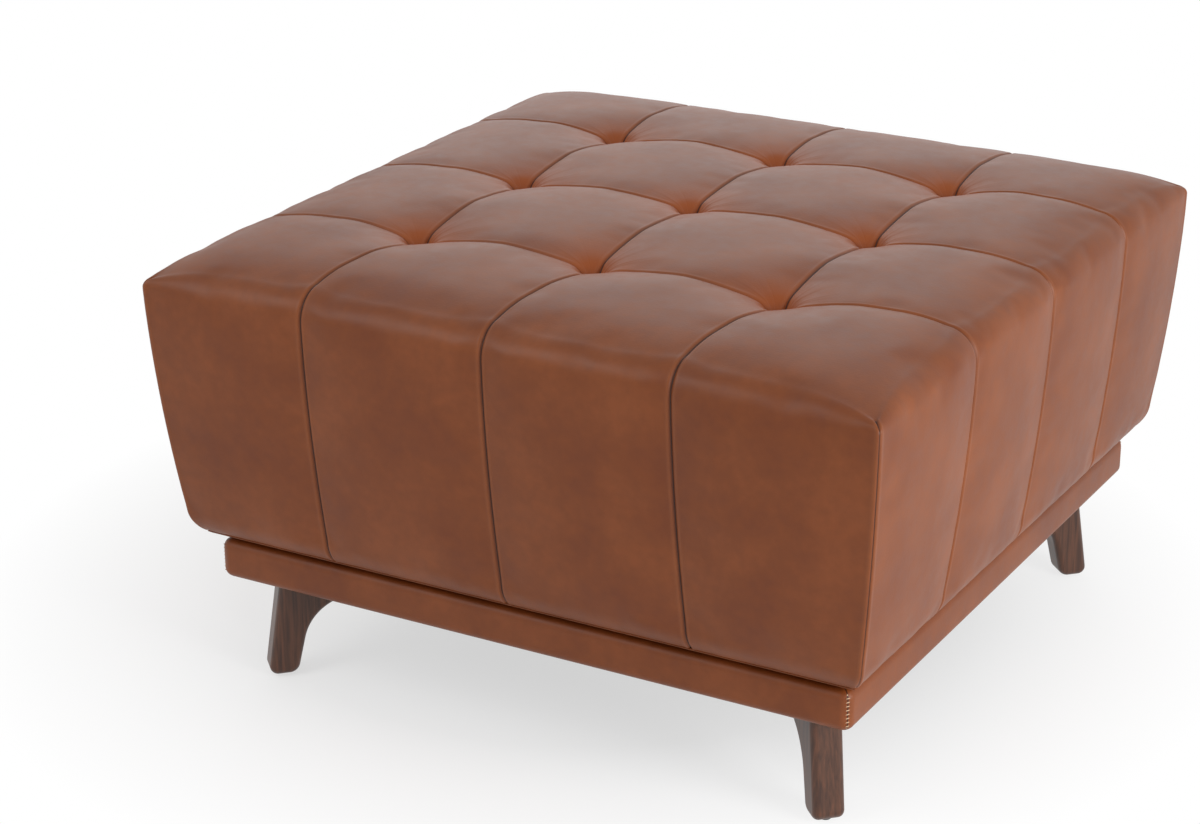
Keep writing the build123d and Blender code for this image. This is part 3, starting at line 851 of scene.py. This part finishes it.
# %% Small finishes
def make_speckled(name, dark, pale, speckle_size, roughness, bump_depth, **constants):
    """A plain finish with a fine speckle, moulded, plated or felted."""
    material, tree, shader = new_material(name, Roughness=roughness, **constants)
    place = add_node(tree, "ShaderNodeTexCoord").outputs["Object"]
    speckle_look = {"Scale": 1 / speckle_size, "Detail": 3.0}
    speckle = add_node(tree, "ShaderNodeTexNoise", speckle_look, {"Vector": place})
    ramp = add_node(tree, "ShaderNodeValToRGB", links={"Fac": speckle.outputs["Fac"]})
    tree.links.new(set_stops(ramp, [(0.35, dark), (0.65, pale)]), shader.inputs["Base Color"])
    bump = add_node(
        tree, "ShaderNodeBump", {"Strength": 0.3, "Distance": bump_depth}, {"Height": speckle.outputs["Fac"]}
    )
    tree.links.new(bump.outputs["Normal"], shader.inputs["Normal"])
    return material


zinc_steel = make_speckled("zinc_plated_steel", "#A9ADB2", "#C4C7CB", 3 * MM, 0.35, 0.05 * MM, Metallic=1.0)
nylon = make_speckled("moulded_black_nylon", "#1B1B1C", "#262627", 2 * MM, 0.5, 0.05 * MM)
cambric = make_speckled("black_spunbond_cambric", "#141414", "#222222", 1.5 * MM, 0.9, 0.2 * MM)
twine_wax = make_speckled("waxed_linen_twine", "#B59A6B", "#CDB687", 1.2 * MM, 0.6, 0.2 * MM)
print("small finishes:", zinc_steel.name, nylon.name, cambric.name, twine_wax.name)

# %% [markdown]
# The hand stitching at the plinth corners is eight short slanting stitches across each butt seam.
# Each stitch is a small stretched bead half sunk in the leather.

# %% Stitch the plinth corners
STITCH_SIZE = (1.1 * MM, 4.2 * MM, 1.1 * MM)
STITCH_COUNT = 8
STITCH_STEP = 4.2 * MM
STITCH_BOTTOM = 127 * MM
STITCH_SLANT = 12

stitch_mesh = bmesh.new()
for quarter in range(4):
    turned = Matrix.Rotation(math.radians(45 + 90 * quarter), 4, "Z")
    slanted = Matrix.Rotation(math.radians(STITCH_SLANT), 4, "X")
    for count in range(STITCH_COUNT):
        moved = Matrix.Translation((corner_distance, 0, STITCH_BOTTOM + STITCH_STEP * count))
        bmesh.ops.create_uvsphere(
            stitch_mesh, u_segments=10, v_segments=6, radius=0.5,
            matrix=turned @ moved @ slanted @ Matrix.Diagonal((*STITCH_SIZE, 1)),
        )
thread = make_speckled("pale_waxed_thread", "#C9A583", "#DDBD9B", 0.8 * MM, 0.6, 0.1 * MM)
stitches = finish_piece("corner_stitches", stitch_mesh, thread, "twine")
print("stitches:", 4 * STITCH_COUNT)

# %% [markdown]
# Every other piece keeps its mesh from the CAD and gets the finish of the real thing. The table is
# read from the top, and the first line that fits the start of a node's name is used.

# %% Finish the frame nodes
FINISHES = (
    ("leg_bolts", zinc_steel),
    ("leg_tee_nuts", zinc_steel),
    ("frame_screws", zinc_steel),
    ("tuft_washers", zinc_steel),
    ("tuft_twines", twine_wax),
    ("leg_glides", nylon),
    ("leg_", walnut_stain),
    ("dust_cover", cambric),
    ("deck_board", plywood),
    ("base_board", plywood),
    ("box_panel", plywood),
    ("hem_strip", trim_leather),
    ("", frame_timber),
)


def finish_of(node_name):
    """Material of the first line of the table that fits a node's name."""
    return next(material for start, material in FINISHES if node_name.startswith(start))


for node_name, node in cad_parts.items():
    node.data.materials.clear()
    node.data.materials.append(finish_of(node_name))
print("finished nodes:", len(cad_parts))

# %% [markdown]
# The studio is a white floor and a white surround. The floor is lit like the object and keeps its
# shadow near it, and fades into plain white further out.

# %% Lay the floor
FLOOR_REACH = 6.0
floor_mesh = bmesh.new()
bmesh.ops.create_grid(floor_mesh, x_segments=2, y_segments=2, size=FLOOR_REACH)
floor_data = bpy.data.meshes.new("studio_floor")
floor_mesh.to_mesh(floor_data)
floor_mesh.free()
studio_floor = bpy.data.objects.new("studio_floor", floor_data)
bpy.context.collection.objects.link(studio_floor)

SHADOW_MIDDLE = (-0.14, 0.04, 0.0)
FADE_START = 0.40
FADE_END = 0.72
PAPER_GLOW = 0.6
paper, tree, paper_shader = new_material("white_paper_floor", Roughness=0.9)
paper_shader.inputs["Base Color"].default_value = screen_colour("#FFFFFF")
paper_shader.inputs["Specular IOR Level"].default_value = 0.0
glow = add_node(tree, "ShaderNodeEmission", {"Color": screen_colour("#FFFFFF"), "Strength": 1.0})
place = add_node(tree, "ShaderNodeTexCoord").outputs["Object"]
away = add_node(tree, "ShaderNodeVectorMath", {1: SHADOW_MIDDLE}, {0: place}, operation="DISTANCE")
fade = add_node(
    tree,
    "ShaderNodeMapRange",
    {"From Min": FADE_START, "From Max": FADE_END, "To Min": PAPER_GLOW},
    {"Value": away.outputs["Value"]},
)
rays = add_node(tree, "ShaderNodeLightPath").outputs
seen = add_node(
    tree,
    "ShaderNodeMath",
    links={0: rays["Is Camera Ray"], 1: rays["Is Glossy Ray"]},
    operation="MAXIMUM",
)
shown = add_node(
    tree,
    "ShaderNodeMath",
    links={0: seen.outputs[0], 1: rays["Is Transmission Ray"]},
    operation="MAXIMUM",
)
how_much = add_node(
    tree, "ShaderNodeMath", links={0: shown.outputs[0], 1: fade.outputs["Result"]}, operation="MULTIPLY"
)
blend = add_node(
    tree,
    "ShaderNodeMixShader",
    links={0: how_much.outputs[0], 1: paper_shader.outputs["BSDF"], 2: glow.outputs[0]},
)
output = next(node for node in tree.nodes if node.type == "OUTPUT_MATERIAL")
tree.links.new(blend.outputs[0], output.inputs["Surface"])
floor_data.materials.append(paper)
print("shadow fades out between", FADE_START, "and", FADE_END, "m")

# %% [markdown]
# The camera and mirror reflections see a white backdrop, while everything else is lit by a dimmer
# ambient light. A soft lamp high at the front left lights the top and front, a stronger one low at
# the right makes the right side the brightest, and a wide weak one keeps the back from going dark.

# %% Light the studio
world = bpy.data.worlds.new("white_surround")
bpy.context.scene.world = world
world.use_nodes = True
tree = world.node_tree
tree.nodes.clear()
ambient = add_node(tree, "ShaderNodeBackground", {"Color": screen_colour("#FFFFFF"), "Strength": 0.45})
backdrop = add_node(tree, "ShaderNodeBackground", {"Color": screen_colour("#FFFFFF"), "Strength": 1.0})
rays = add_node(tree, "ShaderNodeLightPath").outputs
seen = add_node(
    tree,
    "ShaderNodeMath",
    links={0: rays["Is Camera Ray"], 1: rays["Is Transmission Ray"]},
    operation="MAXIMUM",
)
mirrored = add_node(
    tree,
    "ShaderNodeMath",
    links={0: seen.outputs[0], 1: rays["Is Glossy Ray"]},
    operation="MAXIMUM",
)
blend = add_node(
    tree,
    "ShaderNodeMixShader",
    links={0: mirrored.outputs[0], 1: ambient.outputs[0], 2: backdrop.outputs[0]},
)
add_node(tree, "ShaderNodeOutputWorld", links={"Surface": blend.outputs[0]})


def add_softbox(name, place, target, size, power):
    """Add a square soft lamp that faces a target."""
    lamp_data = bpy.data.lights.new(name, "AREA")
    lamp_data.shape = "SQUARE"
    lamp_data.size = size
    lamp_data.energy = power
    lamp = bpy.data.objects.new(name, lamp_data)
    bpy.context.collection.objects.link(lamp)
    lamp.location = place
    lamp.rotation_euler = (Vector(target) - Vector(place)).to_track_quat("-Z", "Y").to_euler()
    return lamp


MIDDLE = (0, 0, 0.3)
add_softbox("front_softbox", (-1.3, -2.0, 2.0), MIDDLE, 1.2, 15)
add_softbox("right_softbox", (2.2, -0.6, 0.8), MIDDLE, 1.0, 30)
add_softbox("back_softbox", (-1.2, 2.5, 1.5), MIDDLE, 2.0, 9)
bpy.context.scene.view_settings.view_transform = "Standard"
